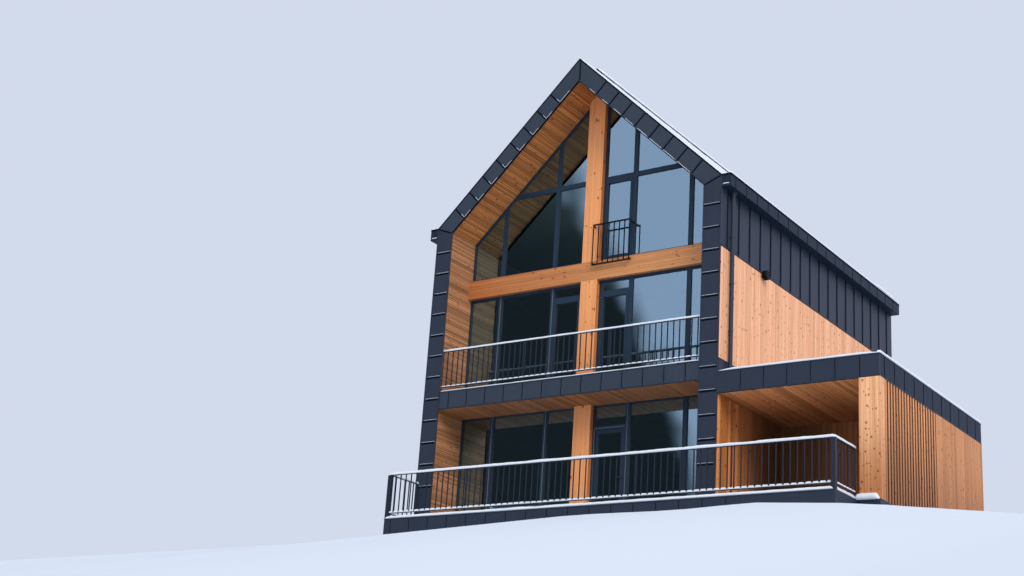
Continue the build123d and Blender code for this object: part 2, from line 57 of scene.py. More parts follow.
bandWidth = 0.42  # the metal frame's upright bands
rakeWidth = 0.41  # its sloping bands, square to the slope
soffitBoard = 0.03  # thickness of the soffits' solids
halfWidth, skin = span("corner_bands")[1].xy
houseDepth = span("side_timber_cladding")[1].y
ridgeZ = span("right_rake_band")[1].z
eaveZ = span("eave_gutters")[1].z
slope = (ridgeZ - eaveZ) / halfWidth
pitch = math.atan(slope)
breakZ = span("side_timber_cladding")[1].z
revealX = span("balcony_slab")[1].x
glassY = span("ground_glazing_frames")[0].y
soffitDrop = ridgeZ - span("right_roof_soffit")[1].z + soffitBoard / math.cos(pitch)
bandDrop = rakeWidth / math.cos(pitch)
firstZ = span("balcony_slab")[1].z
fasciaY = span("balcony_fascia")[0].y
balconyLow = span("balcony_soffit")[0].z
atticZ = span("attic_beam")[1].z
annexRight, annexDepth, annexTop = span("annex_side_fascia")[1]
annexLow = span("annex_side_fascia")[0].z
storeY = span("store_front_wall")[0].y
terraceFront = span("plinth_cladding")[0].y
terraceRight = span("terrace_deck")[1].x
footZ = span("plinth_cladding")[0].z


def roofZ(x, drop=0):
    return ridgeZ - drop - abs(x) * slope


def downSlope(side):
    # along the roof towards its eave, on the right for 1 and on the left for -1
    return Vector((side * math.cos(pitch), 0, -math.sin(pitch)))


def intoRoof(side):
    # square to the slope, into the house
    return Vector((-side * math.sin(pitch), 0, -math.cos(pitch)))


def upright(x, y, low, high):
    return (x, y, low), (x, y, high)


def level(start, end, z):
    return (*start, z), (*end, z)


# shader tools: a wire is one output of a node, and arithmetic on it adds Math nodes
def forward(operation):
    return lambda wire, *others: wire.math(operation, wire, *others)


def both(operation):
    # the plain form and the reflected one
    return forward(operation), lambda wire, other: wire.math(operation, other, wire)


class Wire:
    def __init__(self, paint, socket):
        self.paint = paint
        self.socket = socket

    def math(self, operation, *values):
        return self.paint.node("Math", dict(enumerate(values)), operation=operation)

    def __getitem__(self, name):
        return Wire(self.paint, self.socket.node.outputs[name])

    __add__, __radd__ = both("ADD")
    __sub__, __rsub__ = both("SUBTRACT")
    __mul__, __rmul__ = both("MULTIPLY")
    __truediv__, __rtruediv__ = both("DIVIDE")
    __mod__, __rmod__ = both("FLOORED_MODULO")
    __pow__, __rpow__ = both("POWER")
    __lt__, __gt__, __abs__ = forward("LESS_THAN"), forward("GREATER_THAN"), forward("ABSOLUTE")
    floor, sine = forward("FLOOR"), forward("SINE")


class Paint:
    def __init__(self, owner):
        owner.use_nodes = True
        self.owner = owner
        self.tree = owner.node_tree
        self.tree.nodes.clear()

    def node(self, kind, inputs=None, **settings):
        # kind is the type's name after ShaderNode
        made = self.tree.nodes.new("ShaderNode" + kind)
        for key, value in settings.items():
            setattr(made, key, value)
        for key, value in (inputs or {}).items():
            socket = made.inputs[key]
            if isinstance(value, Wire):
                self.tree.links.new(value.socket, socket)
            elif socket.type == "RGBA":
                socket.default_value = (*value, 1)
            else:
                socket.default_value = value
        return Wire(self, made.outputs[0]) if made.outputs else None

    def noise(self, vector, scale, detail=2, roughness=0.5):
        inputs = {"Vector": vector, "Scale": scale, "Detail": detail, "Roughness": roughness}
        return self.node("TexNoise", inputs)

    def vector(self, x, y, z):
        return self.node("CombineXYZ", {"X": x, "Y": y, "Z": z})

    def blend(self, factor, low, high, mode="MIX"):
        return self.node("Mix", {0: factor, 6: low, 7: high}, data_type="RGBA", blend_type=mode)[2]

    def tint(self, colour, by):
        return self.blend(1.0, colour, by, "MULTIPLY")

    def fade(self, value, start, end, low=0.0, high=1.0):
        # low up to start, high from end, smooth between them
        inputs = {"Value": value, "From Min": start, "From Max": end, "To Min": low, "To Max": high}
        return self.node("MapRange", inputs, interpolation_type="SMOOTHSTEP")

    def place(self):
        return self.node("TexCoord")["Object"]

    def facing(self):
        return self.axes(self.node("TexCoord")["Normal"])

    def axes(self, vector=None):
        # parts of a vector, or of the place in the model
        parts = self.node("SeparateXYZ", {0: vector or self.place()})
        return parts["X"], parts["Y"], parts["Z"]

    def bump(self, height, distance, strength=1.0):
        return self.node("Bump", {"Height": height, "Distance": distance, "Strength": strength})

    def show(self, shader):
        kind = "World" if isinstance(self.owner, bpy.types.World) else "Material"
        self.node("Output" + kind, {"Surface": shader})
        return self.owner

    def surface(self, colour, roughness, **others):
        # other sockets by name, with _ for a space
        inputs = {key.replace("_", " "): value for key, value in others.items()}
        self.show(self.node("BsdfPrincipled", {"Base Color": colour, "Roughness": roughness, **inputs}))


def newPaint(name):
    return Paint(bpy.data.materials.new(name))


# mesh tools
def placed(name, data):
    made = bpy.data.objects.new(name, data)
    scene.collection.objects.link(made)
    return made


class Heap:
    # shapes gathered into one mesh; grain holds a point's place along and across its board, and its tone
    def __init__(self):
        self.points = []
        self.faces = []
        self.grain = []

    def add(self, points, faces, grain=None):
        base = len(self.points)
        self.points += [tuple(p) for p in points]
        self.faces += [[base + i for i in face] for face in faces]
        self.grain += grain or [(0, 0, 0)] * len(points)

    def run(self, start, end, out, section):
        # a section of (across, out) points carried from start to end
        start, end, out = Vector(start), Vector(end), Vector(out).normalized()
        length = (end - start).length
        side = (end - start).normalized().cross(out)
        tone, shift = rng.random(), rng.uniform(0, 40)
        points = [p + side * across + out * height for p in (start, end) for across, height in section]
        grain = [(shift + far, across, tone) for far in (0, length) for across, height in section]
        n = len(section)
        faces = [[i, (i + 1) % n, n + (i + 1) % n, n + i] for i in range(n)]
        self.add(points, faces + [list(range(n))[::-1], list(range(n, 2 * n))], grain)

    def make(self, name, material, body="house", smooth=False):
        mesh = bpy.data.meshes.new(name)
        mesh.from_pydata([origin + Vector(p) for p in self.points], [], self.faces)
        mesh.attributes.new("grain", "FLOAT_VECTOR", "POINT").data.foreach_set(
            "vector", np.array(self.grain, float).ravel())
        work = bmesh.new()
        work.from_mesh(mesh)
        bmesh.ops.recalc_face_normals(work, faces=work.faces)
        work.to_mesh(mesh)
        work.free()
        if smooth:
            mesh.shade_smooth()
        mesh.materials.append(bpy.data.materials[material])
        piece = placed(name, mesh)
        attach(piece, body)


def strip(width, height, bevel):
    # a flat bar's section with its two outer corners cut off
    w = width / 2
    return [(-w, 0.0), (-w, height - bevel), (-w + bevel, height), (w - bevel, height), (w, height - bevel),
        (w, 0.0)]


def gridFaces(rows, columns):
    corners = [i * columns + j for i in range(rows - 1) for j in range(columns - 1)]
    return [[a, a + 1, a + columns + 1, a + columns] for a in corners]


# wood
larch = {
    "pale": (0.97, 0.53, 0.325),
    "deep": (0.66, 0.285, 0.125),
    "knot": (0.21, 0.06, 0.016),
    "spread": 0.22,  # how far boards differ
    "fibres": (2.2, 130.0),  # cells per metre along and across, as in the next two lines
    "figure": (0.75, 9.0),
    "knots": (5.0, 7.0),
    "knotSize": 0.085,
    "rings": 34,  # growth rings per metre across a board
    "streaks": 36,  # fine streaks per metre across a board
    "contrast": 0.6,  # of the fine streaks
    "roughness": 0.62,
}
# painted shade: the next look is larch darkened for the boards under the roofs and in the recesses; the
# soffit, annex, ceiling, reveal and balcony looks built on it are shaded copies too, the balcony's the
# darkest
larchPaintedShade = dict(larch, pale=(0.66, 0.27, 0.095), deep=(0.36, 0.115, 0.03), knot=(0.1, 0.028, 0.01),
    spread=0.6, contrast=0.5, streaks=60)
soffitLook = dict(larchPaintedShade, pale=(0.9, 0.35, 0.092), deep=(0.38, 0.112, 0.021), spread=0.62)
annexLook = dict(larchPaintedShade, pale=(0.9, 0.36, 0.105), deep=(0.46, 0.145, 0.032), knot=(0.08, 0.022, 0.008),
    knotSize=0.11)
ceilingLook = dict(larchPaintedShade, pale=(0.96, 0.45, 0.18), deep=(0.6, 0.225, 0.07))
revealLook = dict(soffitLook, pale=(0.69, 0.335, 0.15), deep=(0.3, 0.108, 0.034))
balconyLook = dict(larchPaintedShade, pale=(0.5, 0.215, 0.075), deep=(0.275, 0.092, 0.024))
# painted shade: the store's boards, and the slats after them, are a darker copy of larch for the lower light
# on that wall
storeLook = dict(larch, pale=(0.665, 0.3, 0.122), deep=(0.41, 0.141, 0.041), knot=(0.14, 0.04, 0.012),
    spread=0.3)
slatLook = dict(storeLook, pale=(0.82, 0.355, 0.143), deep=(0.51, 0.18, 0.053))
pierLook = dict(larch, pale=(0.98, 0.56, 0.3), deep=(0.7, 0.275, 0.107), knot=(0.085, 0.026, 0.01),
    knots=(9.0, 10.0), knotSize=0.13)
spruceBeam = dict(larch, pale=(0.97, 0.41, 0.155), deep=(0.7, 0.25, 0.075), knot=(0.12, 0.035, 0.012),
    spread=0.1, rings=20, streaks=30, contrast=0.4, knots=(3.0, 5.5), knotSize=0.07)
beamLook = dict(spruceBeam, pale=(0.72, 0.28, 0.092), deep=(0.44, 0.138, 0.038), contrast=0.5)
deckLook = dict(larch, pale=(0.36, 0.25, 0.17), deep=(0.22, 0.14, 0.09), spread=0.35, roughness=0.75)
floorLook = dict(larch, pale=(0.36, 0.24, 0.14), deep=(0.25, 0.15, 0.08), spread=0.3, knots=(0.8, 2.0),
    roughness=0.4)
grooveLook = dict(larchPaintedShade, pale=(0.3, 0.115, 0.04), deep=(0.18, 0.065, 0.022))
darkGrooveLook = dict(larchPaintedShade, pale=(0.07, 0.026, 0.011), deep=(0.035, 0.013, 0.006))
panelLook = dict(larch, pale=(0.34, 0.3, 0.25), deep=(0.29, 0.25, 0.2), spread=0.05, knots=(0.3, 0.3))


def boardGrain(paint):
    return paint.axes(paint.node("Attribute", attribute_name="grain")["Vector"])


def solidGrain(along, across, width):
    # grain from the model's own coordinates, for pieces without separate boards
    def read(paint):
        parts = dict(zip("xyz", paint.axes()))
        first, *others = (parts[axis] for axis in across)
        tone = paint.node("TexWhiteNoise", {"W": (first / width).floor()}, noise_dimensions="1D")
        return parts[along], sum(others, first), tone
    return read


def knotMarks(paint, look, along, across, seed):
    # each cell may hold one knot, of its own size
    lengthwise, crosswise = look["knots"]
    place = paint.vector(along * lengthwise + seed, across * crosswise + seed * 3.0, 0.0)
    cells = paint.node("TexVoronoi", {"Vector": place, "Scale": 1.0}, voronoi_dimensions="2D")
    chance = paint.axes(cells["Color"])[0]
    wander = paint.noise(paint.vector(along * 40.0, across * 40.0, seed), 1.0, 1)
    near = cells + (wander - 0.5) * 0.11
    size = chance ** 3 * (look["knotSize"] * 1.35) + 0.018
    present = chance > 0.3
    knot = paint.fade(near, size, size + 0.02, 1.0, 0.0) * present
    halo = paint.fade(near, size, size * 2.6, 1.0, 0.0) * present
    return knot, halo


screw = {
    "pitch": 0.62,  # from batten to batten
    "deckPitch": 0.5,
    "offset": 0.034,  # from the board's middle
    "squaredRadius": 0.000012,
    "colour": (0.12, 0.09, 0.07),
}
glueLine = 0.022  # half its width, as a share of a lamella


def wood(name, look, read, lamella=0.0, screws=0.0, tints=()):
    paint = newPaint(name)
    along, across, tone = read(paint)
    seed = tone * 71.0
    lengthwise, crosswise = look["fibres"]
    fibre = paint.noise(paint.vector(along * lengthwise, across * crosswise, seed), 1.0, 4, 0.6)
    lengthwise, crosswise = look["figure"]
    figure = paint.noise(paint.vector(along * lengthwise + seed, across * crosswise, seed), 1.0, 2)
    streak = paint.noise(paint.vector(along * 0.3 + seed, across * look["streaks"], seed), 1.0, 3, 0.6)
    streak = paint.fade(streak, 0.36, 0.64)
    rings = ((across * look["rings"] + figure * 5.0) * math.tau).sine() * 0.5 + 0.5
    knot, halo = knotMarks(paint, look, along, across, seed)
    contrast = look["contrast"]
    mix = fibre * 0.3 + streak * contrast + rings * 0.16 + figure * 0.3 - (contrast - 0.2) / 2
    colour = paint.blend(mix, look["pale"], look["deep"])
    shade = 1.0 - look["spread"] / 2 + tone * look["spread"]
    colour = paint.tint(colour, paint.vector(shade, shade * 0.5 + 0.5 * shade ** 1.25, shade ** 1.5))
    colour = paint.blend(halo * 0.35, colour, look["deep"])
    colour = paint.blend(knot * 0.88, colour, look["knot"])
    height = fibre * 0.5 + rings * 0.4 - knot * 0.8
    if screws:
        # a pair of small screw heads at each batten
        fromBatten = (along % screws) - screws / 2
        fromRow = abs(across) - screw["offset"]
        dot = (fromBatten * fromBatten + fromRow * fromRow) < screw["squaredRadius"]
        colour = paint.blend(dot * 0.75, colour, screw["colour"])
        height = height - dot * 1.5
    if lamella:
        line = abs((across / lamella) % 1.0 - 0.5) < glueLine
        colour = paint.blend(line * 0.45, colour, look["knot"])
    for tint in tints:
        colour = tint(paint, colour)
    paint.surface(colour, fibre * 0.18 + look["roughness"] - 0.08, Normal=paint.bump(height, 0.0007, 0.8))


# painted shade in the annex's inner corner: the reach over which it fades out, and its colour
innerCorner = {"from": 0.5, "to": 2.9, "colour": (0.135, 0.052, 0.012)}
# painted light at the ceiling's front and painted shade deeper in, the first two as factors on its colour,
# then the border along the house wall
annexCeiling = {
    "pale": (1.22, 1.22, 1.22),
    "deep": (0.56, 0.52, 0.5),
    "border": 0.27,  # width of the darker boards beside the house wall
    "borderColour": (0.1, 0.036, 0.012),
    "edge": 0.009,  # half the width of the pale line beside them
    "edgeColour": (0.9, 0.5, 0.27),
}
# painted shade on the slats' sides
slatSideShade = (0.05, 0.018, 0.007)
# painted shade on the post's sides, as a factor on its colour
postSideShade = (0.8, 0.66, 0.5)
# painted shade at the beam's left end and painted light at its right end, as factors on its colour, and
# where the change runs
beamEnds = {"left": (0.82, 0.76, 0.64), "right": (1.08, 1.27, 1.46), "from": -3.4, "to": 3.2}
wallX = origin.x + halfWidth  # the house wall beside the annex, in the model's coordinates


def paintedCornerShade(paint, colour):
    # painted shade: boards under the annex roof are painted darker towards the inner corner, where the shade
    # is deepest
    x, y, z = paint.axes()
    reach = (x - wallX) + ((origin.y + storeY) - y)
    paintedLight = paint.fade(reach, innerCorner["from"], innerCorner["to"])
    return paint.blend(paintedLight, innerCorner["colour"], colour)


def annexCeilingPaintedShade(paint, colour):
    # painted light and shade: the annex ceiling is painted paler at its front edge and darker deeper under
    # the roof; a darker border runs along the house wall, with a pale line beside it
    x, y, z = paint.axes()
    paintedLight, deep = paint.tint(colour, annexCeiling["pale"]), paint.tint(colour, annexCeiling["deep"])
    colour = paint.blend(paint.fade(y - origin.y, 0.2, storeY - 0.4), paintedLight, deep)
    border = (x - wallX) < annexCeiling["border"]
    edge = abs(x - (wallX + annexCeiling["border"])) < annexCeiling["edge"]
    colour = paint.blend(border * 0.4, colour, annexCeiling["borderColour"])
    return paint.blend(edge * 0.3, colour, annexCeiling["edgeColour"])


def shadedSlatSides(paint, colour):
    # painted shade: the slats' sides, deep in the narrow gaps between them, are painted darker than their
    # faces
    return paint.blend((abs(paint.facing()[1]) > 0.5) * 0.84, colour, slatSideShade)


def shadedPostSides(paint, colour):
    # painted shade: the post's sides, in the recess, are painted darker than its front
    return paint.blend(abs(paint.facing()[0]) > 0.5, colour, paint.tint(colour, postSideShade))


def darkerFoot(foot, top):
    # timber is darker towards the ground
    def tint(paint, colour):
        z = paint.axes()[2]
        return paint.blend(paint.fade(z - origin.z, 0.0, top), paint.tint(colour, foot), colour)
    return tint


def paintedBeamShade(paint, colour):
    # painted light and shade: the beam is painted darker and redder at its left end, in the frame's shade,
    # and paler at its right end, where more light falls
    x = paint.axes()[0]
    across = paint.fade(x - origin.x, beamEnds["from"], beamEnds["to"])
    return paint.blend(across, paint.tint(colour, beamEnds["left"]), paint.tint(colour, beamEnds["right"]))


slatLow, slatHigh = span("slat_screen")
slatCount = 19
lamellaHeight = 0.045
wood("facadeBoards", larch, boardGrain, screws=screw["pitch"])
wood("balconyBoards", balconyLook, boardGrain)
wood("revealBoards", revealLook, boardGrain)
wood("ceilingBoards", ceilingLook, boardGrain, tints=[annexCeilingPaintedShade])
wood("annexBoards", annexLook, boardGrain, tints=[paintedCornerShade])
wood("soffitBoards", soffitLook, boardGrain)
wood("storeBoards", storeLook, boardGrain, screws=screw["pitch"], tints=[darkerFoot((0.66, 0.59, 0.5), 2.1)])
wood("pierBoards", pierLook, boardGrain, tints=[darkerFoot((0.59, 0.44, 0.28), 1.9)])
wood("deckBoards", deckLook, boardGrain, screws=screw["deckPitch"])
wood("postTimber", spruceBeam, solidGrain("z", "xy", 0.21), tints=[shadedPostSides])
wood("beamTimber", beamLook, solidGrain("x", "zy", lamellaHeight), lamella=lamellaHeight, tints=[paintedBeamShade])
wood("slatTimber", slatLook, solidGrain("z", "yx", slatHigh.y / slatCount),
    tints=[darkerFoot((0.5, 0.47, 0.41), 2.3), shadedSlatSides])
wood("grooveWood", grooveLook, solidGrain("z", "xy", 0.3))
wood("darkGroove", darkGrooveLook, solidGrain("y", "xz", 0.3))
wood("roomFloor", floorLook, solidGrain("y", "x", 0.18))
wood("wallPanels", panelLook, solidGrain("z", "xy", 1.25))


# coated metal
sheetLook = {
    "dark": (0.0145, 0.0225, 0.04),
    "light": (0.026, 0.0385, 0.066),
    "roughness": 0.54,
    "gloss": 0.28,
    "clouds": 1.4,  # per metre, as are the next three
    "runs": (11.0, 0.7),  # traces of water, across and down
    "grain": 420.0,
    "waves": 2.3,
    "dents": 0.004,  # depth of the waves
}
frameLook = dict(sheetLook, dark=(0.009, 0.026, 0.049), light=(0.014, 0.039, 0.073), roughness=0.42,
    gloss=0.3, dents=0.0)


def coated(name, look):
    paint = newPaint(name)
    place = paint.place()
    x, y, z = paint.axes(place)
    across, down = look["runs"]
    clouds = paint.noise(place, look["clouds"], 3)
    runs = paint.noise(paint.vector(x * across, y * across, z * down), 1.0, 3, 0.6)
    fine = paint.noise(place, look["grain"], 1)
    colour = paint.blend(clouds * 0.5 + runs * 0.45, look["dark"], look["light"])
    dents = paint.noise(place, look["waves"], 1)
    height = fine * 0.00006 + dents * look["dents"] + runs * 0.0002
    roughness = runs * 0.2 + clouds * 0.08 + look["roughness"] - 0.14
    paint.surface(colour, roughness, Normal=paint.bump(height, 1.0), Specular_IOR_Level=look["gloss"])


coated("sheetMetal", sheetLook)
# painted shade and light: the next two are copies of the sheet metal, darker for the gutters and the annex's
# side fascia and paler for the balcony fascia and the sloping bands, by how light falls on them
coated("shadedSheetMetal", dict(sheetLook, dark=(0.0095, 0.0175, 0.033), light=(0.017, 0.03, 0.054), gloss=0.1))
coated("litSheetMetal", dict(sheetLook, dark=(0.022, 0.033, 0.05), light=(0.036, 0.052, 0.078)))
coated("windowMetal", frameLook)
coated("railMetal", dict(frameLook, dark=(0.01, 0.016, 0.03), light=(0.016, 0.025, 0.045), roughness=0.45))
coated("grilleMetal", dict(frameLook, dark=(0.004, 0.006, 0.01), light=(0.007, 0.01, 0.017),
    roughness=0.5, gloss=0.12))
coated("lampMetal", dict(frameLook, dark=(0.003, 0.003, 0.004), light=(0.006, 0.006, 0.007),
    roughness=0.6, gloss=0.12))
# painted shadow: near-black strips laid beside folds and under edges, for the shade in the seams' recesses
coated("jointShadow", dict(frameLook, dark=(0.002, 0.004, 0.008), light=(0.004, 0.007, 0.013),
    roughness=0.8, gloss=0.05))
# painted highlight: the cover strips are much paler than the frames, for the light along the joints
coated("coverStripHighlight", dict(frameLook, dark=(0.1, 0.13, 0.16), light=(0.16, 0.2, 0.24), roughness=0.35))

steelLook = {"dark": (0.075, 0.08, 0.088), "light": (0.125, 0.13, 0.14), "roughness": 0.28,
    "lines": (60, 900)}
rubberLook = {"dark": (0.008, 0.008, 0.009), "light": (0.018, 0.018, 0.02), "roughness": 0.5}
concreteLook = {"dark": (0.24, 0.24, 0.235), "light": (0.46, 0.455, 0.44), "roughness": 0.82}
snowLook = {"dark": (0.68, 0.74, 0.84), "light": (0.82, 0.86, 0.92), "roughness": 0.6}
glassLook = {
    "through": (0.6, 0.66, 0.64),
    "mirrored": (0.54, 0.85, 1.0),
    "roughness": 0.015,
    "index": 2.5,  # of its two panes together, for how much it mirrors
    "least": 0.28,  # share that it mirrors when seen square on
}


def brushed(name, look):
    paint = newPaint(name)
    x, y, z = paint.axes()
    along, across = look["lines"]
    lines = paint.noise(paint.vector(x * along, y * across, z * across), 1.0, 2)
    paint.surface(paint.blend(lines, look["dark"], look["light"]), lines * 0.2 + look["roughness"],
        Normal=paint.bump(lines, 0.0001), Metallic=1.0)


def rubber(name, look):
    paint = newPaint(name)
    grain = paint.noise(paint.place(), 300.0, 2)
    paint.surface(paint.blend(grain, look["dark"], look["light"]), grain * 0.2 + look["roughness"])


def concrete(name, look):
    paint = newPaint(name)
    place = paint.place()
    clouds, grit = paint.noise(place, 1.8, 5, 0.62), paint.noise(place, 90.0, 3)
    colour = paint.blend(clouds * 0.8 + grit * 0.2, look["dark"], look["light"])
    paint.surface(colour, grit * 0.1 + look["roughness"], Normal=paint.bump(grit * 0.4 + clouds, 0.003))


def snow(name, look):
    paint = newPaint(name)
    place = paint.place()
    drift, flakes = paint.noise(place, 5.0, 3), paint.noise(place, 140.0, 3, 0.7)
    colour = paint.blend(drift * 0.6 + flakes * 0.4, look["dark"], look["light"])
    paint.surface(colour, flakes * 0.2 + look["roughness"], Normal=paint.bump(drift * 3.0 + flakes, 0.003))


def clearGlass(name, look):
    paint = newPaint(name)
    normal = paint.bump(paint.noise(paint.place(), 0.9, 1), 0.004)
    rim = paint.node("Fresnel", {"IOR": look["index"], "Normal": normal})
    front = 1.0 - paint.node("NewGeometry")["Backfacing"]
    clear = paint.node("BsdfTransparent", {"Color": look["through"]})
    gloss = {"Color": look["mirrored"], "Roughness": look["roughness"], "Normal": normal}
    mirror = paint.node("BsdfGlossy", gloss)
    share = (rim * 0.8 + look["least"]) * front
    paint.show(paint.node("MixShader", {0: share, 1: clear, 2: mirror}))


brushed("handleSteel", steelLook)
rubber("gasketRubber", rubberLook)
concrete("castConcrete", concreteLook)
snow("freshSnow", snowLook)
snow("thinSnow", dict(snowLook, dark=(0.6, 0.655, 0.745), light=(0.75, 0.79, 0.86)))
clearGlass("paneGlass", glassLook)

nodeFinish = {
    "castConcrete": "terrace_base house_base annex_base",
    "sheetMetal": "plinth_cladding side_metal_cladding rear_metal_cladding corner_bands ridge_cap downpipes "
        "annex_front_fascia annex_rear_fascia left_roof right_roof annex_roof",
    "shadedSheetMetal": "eave_gutters annex_side_fascia",
    "litSheetMetal": "balcony_fascia left_rake_band right_rake_band",
    "grooveWood": "side_timber_cladding rear_timber_cladding annex_pier store_side_wall store_rear_wall",
    "darkGroove": "reveal_linings left_roof_soffit right_roof_soffit balcony_soffit annex_soffit "
        "store_front_wall terrace_deck annex_deck balcony_slab",
    "slatTimber": "slat_screen",
    "postTimber": "central_post",
    "beamTimber": "attic_beam",
    "roomFloor": "ground_floor first_floor attic_floor",
    "wallPanels": "left_wall right_wall rear_wall",
    "windowMetal": "ground_glazing_frames first_floor_glazing_frames attic_glazing_frames "
        "terrace_door_frame terrace_door_leaf rear_window_frames",
    "paneGlass": "ground_glass first_floor_glass attic_glass terrace_door_glass rear_window_glass",
    "railMetal": "terrace_railing terrace_side_railings balcony_railing",
    "grilleMetal": "juliet_railing",
    "handleSteel": "terrace_door_handle",
    "lampMetal": "wall_lamp",
}
for material, names in nodeFinish.items():
    for name in names.split():
        nodes[name].data.materials.clear()
        nodes[name].data.materials.append(bpy.data.materials[material])
print("finishes set")

# boards
facade = {"width": 0.12, "gap": 0.007, "thick": 0.008, "bevel": 0.003}
ceiling = {"width": 0.096, "gap": 0.009, "thick": 0.009, "bevel": 0.003}
lath = {"width": 0.049, "gap": 0.009, "thick": 0.011, "bevel": 0.003}
pierBoard = dict(facade, width=0.105, gap=0.0012, bevel=0.001)
decking = {"width": 0.145, "gap": 0.006, "thick": 0.012, "bevel": 0.003, "run": 4.2}
boardsFoot = 3.17  # of the boards over the annex roof, above the flashing
leastBoard = 0.02  # anything narrower or shorter is left out
buttGap = 0.001
rearWindow = {"x": 1.7, "width": 1.2, "height": 1.2, "sill": 0.95, "atticWidth": 1.0}
lowerWindows = [(side * rearWindow["x"], rearWindow["width"], floor + rearWindow["sill"])
    for floor in (0, firstZ) for side in (1, -1)]
atticWindow = (0.0, rearWindow["atticWidth"], atticZ + rearWindow["sill"])


def clad(heap, board, corner, along, across, out, length, width, holes=()):
    # boards laid side by side over a rectangle; holes are (across from, to, along from, to)
    corner, along, across = Vector(corner), Vector(along).normalized(), Vector(across).normalized()
    count = max(1, round(width / board["width"]))
    each = width / count
    section = strip(each - board["gap"], board["thick"], board["bevel"])
    for i in range(count):
        near, far = i * each, (i + 1) * each
        runs = [(0.0, length)]
        for left, rightEdge, foot, head in holes:
            if far > left + leastBoard and near < rightEdge - leastBoard:
                parts = [part for s, e in runs for part in ((s, min(e, foot)), (max(s, head), e))]
                runs = [(s, e) for s, e in parts if e - s > leastBoard]
        for start, end in runs:
            cuts = [start, end]
            if end - start > board.get("run", math.inf):
                cuts.insert(1, start + rng.uniform(0.3, 0.7) * (end - start))
            for first, last in zip(cuts, cuts[1:]):
                place = corner + across * (near + far) / 2
                heap.run(place + along * first, place + along * (last - buttGap), out, section)


def layBoards(name, material, board, *fields, slot="timber_boards"):
    # a field is a corner, the directions along, across and out, the length, the width and any holes
    heap = Heap()
    for field in fields:
        clad(heap, board, *field)
    heap.make(name, material)


for side, name in ((1, "right"), (-1, "left")):
    out = right * side
    annexWall = [(0, annexDepth - skin, 0, boardsFoot)] if side > 0 else []
    layBoards(name + "_wall_boards", "facadeBoards", facade,
        ((side * halfWidth, skin, 0), up, back, out, breakZ, houseDepth - skin, annexWall))
    layBoards(name + "_reveal_boards", "revealBoards", lath,
        ((side * revealX, skin, 0), back, up, -out, glassY - skin, roofZ(revealX, soffitDrop)))
    layBoards(name + "_soffit_boards", "soffitBoards", lath,
        ((0, skin, ridgeZ - soffitDrop), back, downSlope(side), intoRoof(side), glassY - skin,
         revealX / math.cos(pitch)))

holes = [(x - width / 2 + halfWidth, x + width / 2 + halfWidth, sill, sill + rearWindow["height"])
    for x, width, sill in lowerWindows]
layBoards("rear_wall_boards", "facadeBoards", facade,
    ((-halfWidth, houseDepth, 0), up, right, back, breakZ, 2 * halfWidth, holes))
ceilingFront = span("balcony_fascia")[1].y + buttGap
layBoards("balcony_ceiling_boards", "balconyBoards", ceiling,
    ((-revealX, ceilingFront, balconyLow), back, right, -up, glassY - ceilingFront, 2 * revealX))

# boards of the annex, the store and the pier
layBoards("annex_ceiling_boards", "ceilingBoards", ceiling,
    ((halfWidth, skin, annexLow), back, right, -up, storeY - skin, annexRight - skin - halfWidth))
layBoards("annex_wall_boards", "annexBoards", facade,
    ((halfWidth, skin, 0), up, back, right, annexLow, storeY - skin),
    ((halfWidth, storeY, 0), up, right, -back, annexLow, span("store_front_wall")[1].x - halfWidth))
layBoards("store_boards", "storeBoards", facade,
    ((annexRight, storeY, 0), up, back, right, annexLow, annexDepth - storeY),
    ((halfWidth, annexDepth, 0), up, right, back, annexLow, annexRight - halfWidth))
low, high = span("annex_pier")
layBoards("pier_boards", "pierBoards", pierBoard,
    ((low.x, 0, 0), up, right, -back, annexLow, high.x - low.x),
    ((high.x, 0, 0), up, back, right, annexLow, high.y),
    ((low.x, 0, 0), up, back, -right, annexLow, high.y),
    ((low.x, high.y, 0), up, right, back, annexLow, slatLow.x - low.x))

# decks of the terrace, the recess, the annex and the balcony
low, high = span("terrace_deck")
underSlats, behindFascia = 0.03, 0.045
balconyFront = fasciaY + behindFascia
layBoards("deck_boards", "deckBoards", decking,
    ((low.x, low.y, 0), right, back, up, high.x - low.x, -low.y),
    ((-revealX, 0.0, 0), right, back, up, 2 * revealX, glassY),
    ((halfWidth, 0.0, 0), right, back, up, slatLow.x + underSlats - halfWidth, storeY),
    ((-revealX, balconyFront, firstZ), right, back, up, 2 * revealX, glassY - balconyFront),
    slot="deck_boards")
print("boards laid")

# the metal's edges: width, height and bevel of each section
bars = {
    "seam": (0.012, 0.024, 0.003),  # standing seam
    "fold": (0.016, 0.007, 0.003),  # a sheet's folded edge
    # the joints, underDrip, gutterLip and roofEdge are laid as dark strips: painted shadow beside the folds
    # and under the edges
    "wideJoint": (0.036, 0.0015, 0.0005),
    "fineJoint": (0.018, 0.0015, 0.0005),  # where the sheets butt closer
    "drip": (0.03, 0.018, 0.004),  # where the metal starts over the boards
    "underDrip": (0.014, 0.011, 0.002),
    "rearDrip": (0.035, 0.02, 0.004),
    "gutterLip": (0.045, 0.006, 0.002),
    "flashing": (0.42, 0.009, 0.003),  # between the annex roof and the boards over it
    "flashingFoot": (0.02, 0.016, 0.004),
    "frameEdge": (0.02, 0.009, 0.003),
    "frameShadow": (0.034, 0.02, 0.002),  # between the sloping bands and the soffit boards behind
    "roofEdge": (0.03, 0.009, 0.003),
    "coping": (0.022, 0.008, 0.003),
    "coverStripHighlight": (0.014, 0.006, 0.002),
    "casing": (0.05, 0.022, 0.004),  # round the rear windows
    "casingHead": (0.05, 0.026, 0.004),
    "gasket": (0.014, 0.005, 0.002),
}
